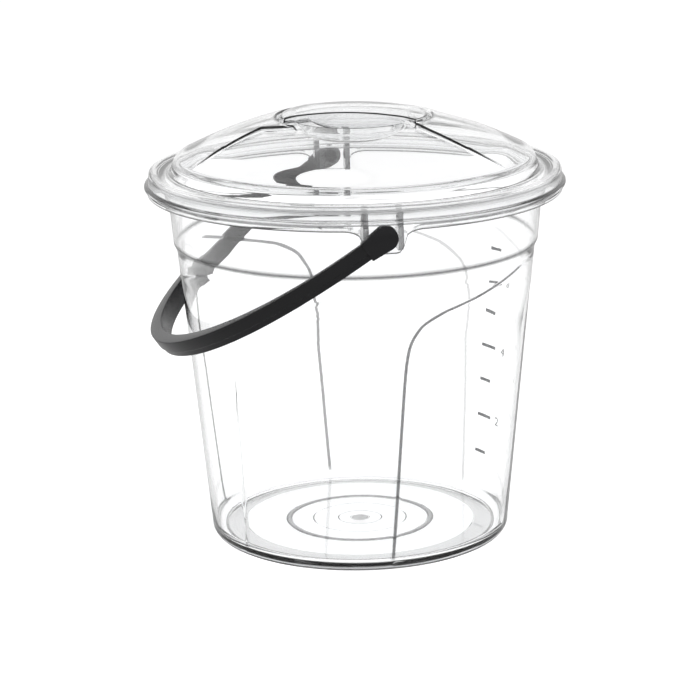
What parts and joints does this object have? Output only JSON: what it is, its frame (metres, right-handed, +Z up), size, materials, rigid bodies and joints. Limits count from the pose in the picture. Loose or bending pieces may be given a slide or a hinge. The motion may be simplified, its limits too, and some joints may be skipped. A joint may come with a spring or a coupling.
{
  "type": "lidded bucket",
  "caption": "Round clear plastic bucket with a domed lift-off lid and a black swinging bail handle, for storing dry food or liquids.",
  "frame": {"origin": "centre of the bucket's foot ring, on the plane it stands on", "axes": "+Z up along the bucket's axis; the handle's pivots lie along Y; the handle hangs towards -X at rest"},
  "size_m": [0.29, 0.3034, 0.2987],
  "materials": {
    "clear_plastic": "polished, clear",
    "lid_plastic": "polished, clear",
    "black_plastic": "satin, moulded"
  },
  "bodies": {
    "tub": {"tub": "clear_plastic"},
    "lid": {"lid": "lid_plastic"},
    "bail": {"bail_handle": "black_plastic"}
  },
  "joints": [
    {"name": "lid_lift", "type": "slide", "parent": "tub", "child": "lid", "axis": [0, 0, 1], "range_m": [0, 0.1]},
    {"name": "bail_swing", "type": "hinge", "parent": "tub", "child": "bail", "pos_m": [0, 0, 0.241], "axis": [0, 1, 0], "range_deg": [0, 250]}
  ]
}
